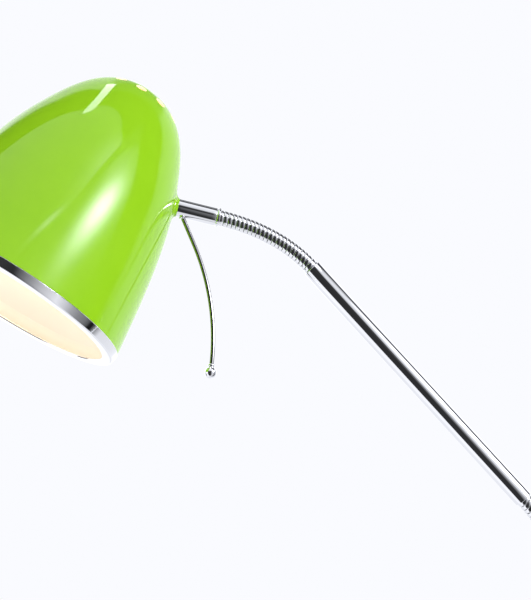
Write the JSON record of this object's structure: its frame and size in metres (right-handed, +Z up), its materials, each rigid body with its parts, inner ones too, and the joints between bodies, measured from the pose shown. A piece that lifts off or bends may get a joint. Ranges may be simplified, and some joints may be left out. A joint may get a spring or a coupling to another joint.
{
  "type": "floor lamp",
  "caption": "Floor lamp with a weighted round base, pole, straight arm on two flexible goosenecks and a bell shade with a ball-ended handle.",
  "frame": {"origin": "underside of the base at the pole's axis", "axes": "+Z up along the pole, -X towards the shade, Y sideways"},
  "size_m": [0.5335, 0.236, 1.4985],
  "materials": {
    "chrome": "polished chrome plate",
    "lime_paint": "high-gloss lime green enamel outside, white inside",
    "steel": "zinc plated",
    "brass": "turned",
    "cast_weight": "black lacquered casting",
    "foam": "closed-cell foam pad",
    "black_plastic": "satin moulded",
    "lead_sheath": "smooth flexible sheath",
    "ceramic": "glazed white insulator",
    "opal_glass": "frosted warm white"
  },
  "bodies": {
    "stand": {"base_pad": "foam", "base_plate": "steel", "base_screws": "steel", "base_weight": "cast_weight", "base_cover": "chrome", "base_stud": "steel", "base_washer": "steel", "base_nut": "steel", "cable_bush": "black_plastic", "pole_foot": "chrome", "pole_bottom_bush": "brass", "pole_lower": "chrome", "pole_coupler": "steel", "pole_joint_ring": "chrome", "pole_upper": "chrome", "neck_socket": "chrome", "pole_lead": "lead_sheath"},
    "lower_link_1": {"lower_neck_link_1": "chrome"},
    "lower_link_2": {"lower_neck_link_2": "chrome"},
    "lower_link_3": {"lower_neck_link_3": "chrome"},
    "lower_link_4": {"lower_neck_link_4": "chrome"},
    "lower_link_5": {"lower_neck_link_5": "chrome"},
    "lower_link_6": {"lower_neck_link_6": "chrome"},
    "lower_link_7": {"lower_neck_link_7": "chrome"},
    "arm": {"arm_lower_bush": "chrome", "arm_tube": "chrome", "arm_upper_bush": "chrome", "arm_lead": "lead_sheath"},
    "upper_link_1": {"upper_neck_link_1": "chrome"},
    "upper_link_2": {"upper_neck_link_2": "chrome"},
    "upper_link_3": {"upper_neck_link_3": "chrome"},
    "upper_link_4": {"upper_neck_link_4": "chrome"},
    "upper_link_5": {"upper_neck_link_5": "chrome"},
    "upper_link_6": {"upper_neck_link_6": "chrome"},
    "upper_link_7": {"upper_neck_link_7": "chrome"},
    "head": {"ferrule": "chrome", "ferrule_bush": "steel", "handle_rod": "chrome", "handle_ball": "chrome", "shade": "lime_paint", "trim_ring": "chrome", "shade_stud": "steel", "toothed_washer": "steel", "holder_bracket": "steel", "stud_nut": "steel", "holder_nipple": "steel", "holder_nut": "steel", "holder_cap": "black_plastic", "holder_shell": "black_plastic", "holder_insert": "ceramic", "holder_sleeve": "brass", "bulb_glass": "opal_glass", "bulb_cap": "steel", "head_lead": "lead_sheath"}
  },
  "joints": [
    {"name": "lower_neck_pitch_1", "type": "hinge", "parent": "stand", "child": "lower_link_1", "pos_m": [0, 0, 1.18425], "axis": [0, -1, 0], "range_deg": [-28.8, 7.1]},
    {"name": "lower_neck_yaw_1", "type": "hinge", "parent": "lower_link_1", "child": "lower_link_2", "pos_m": [-0.0016, 0, 1.1926], "axis": [0.9821, 0, 0.1882], "range_deg": [-18, 18]},
    {"name": "lower_neck_pitch_2", "type": "hinge", "parent": "lower_link_2", "child": "lower_link_3", "pos_m": [-0.0032, 0, 1.20095], "axis": [0, -1, 0], "range_deg": [-28.8, 7.1]},
    {"name": "lower_neck_yaw_2", "type": "hinge", "parent": "lower_link_3", "child": "lower_link_4", "pos_m": [-0.00634, 0, 1.20884], "axis": [0.9291, 0, 0.3697], "range_deg": [-18, 18]},
    {"name": "lower_neck_pitch_3", "type": "hinge", "parent": "lower_link_4", "child": "lower_link_5", "pos_m": [-0.00949, 0, 1.21674], "axis": [0, -1, 0], "range_deg": [-28.8, 7.1]},
    {"name": "lower_neck_yaw_3", "type": "hinge", "parent": "lower_link_5", "child": "lower_link_6", "pos_m": [-0.01406, 0, 1.22391], "axis": [0.8429, 0, 0.538], "range_deg": [-18, 18]},
    {"name": "lower_neck_pitch_4", "type": "hinge", "parent": "lower_link_6", "child": "lower_link_7", "pos_m": [-0.01863, 0, 1.23107], "axis": [0, -1, 0], "range_deg": [-28.8, 7.1]},
    {"name": "lower_neck_yaw_4", "type": "hinge", "parent": "lower_link_7", "child": "arm", "pos_m": [-0.02447, 0, 1.23725], "axis": [0.7266, 0, 0.6871], "range_deg": [-18, 18]},
    {"name": "upper_neck_pitch_1", "type": "hinge", "parent": "arm", "child": "upper_link_1", "pos_m": [-0.16567, 0, 1.38656], "axis": [0, -1, 0], "range_deg": [-27, 8.9]},
    {"name": "upper_neck_yaw_1", "type": "hinge", "parent": "upper_link_1", "child": "upper_link_2", "pos_m": [-0.1724, 0, 1.39174], "axis": [0.6101, 0, 0.7923], "range_deg": [-18, 18]},
    {"name": "upper_neck_pitch_2", "type": "hinge", "parent": "upper_link_2", "child": "upper_link_3", "pos_m": [-0.17914, 0, 1.39693], "axis": [0, -1, 0], "range_deg": [-27, 8.9]},
    {"name": "upper_neck_yaw_2", "type": "hinge", "parent": "upper_link_3", "child": "upper_link_4", "pos_m": [-0.1866, 0, 1.401], "axis": [0.4787, 0, 0.878], "range_deg": [-18, 18]},
    {"name": "upper_neck_pitch_3", "type": "hinge", "parent": "upper_link_4", "child": "upper_link_5", "pos_m": [-0.19406, 0, 1.40507], "axis": [0, -1, 0], "range_deg": [-27, 8.9]},
    {"name": "upper_neck_yaw_3", "type": "hinge", "parent": "upper_link_5", "child": "upper_link_6", "pos_m": [-0.20207, 0, 1.40792], "axis": [0.3355, 0, 0.9421], "range_deg": [-18, 18]},
    {"name": "upper_neck_pitch_4", "type": "hinge", "parent": "upper_link_6", "child": "upper_link_7", "pos_m": [-0.21008, 0, 1.41077], "axis": [0, -1, 0], "range_deg": [-27, 8.9]},
    {"name": "upper_neck_yaw_4", "type": "hinge", "parent": "upper_link_7", "child": "head", "pos_m": [-0.21843, 0, 1.41233], "axis": [0.184, 0, 0.9829], "range_deg": [-18, 18]}
  ]
}
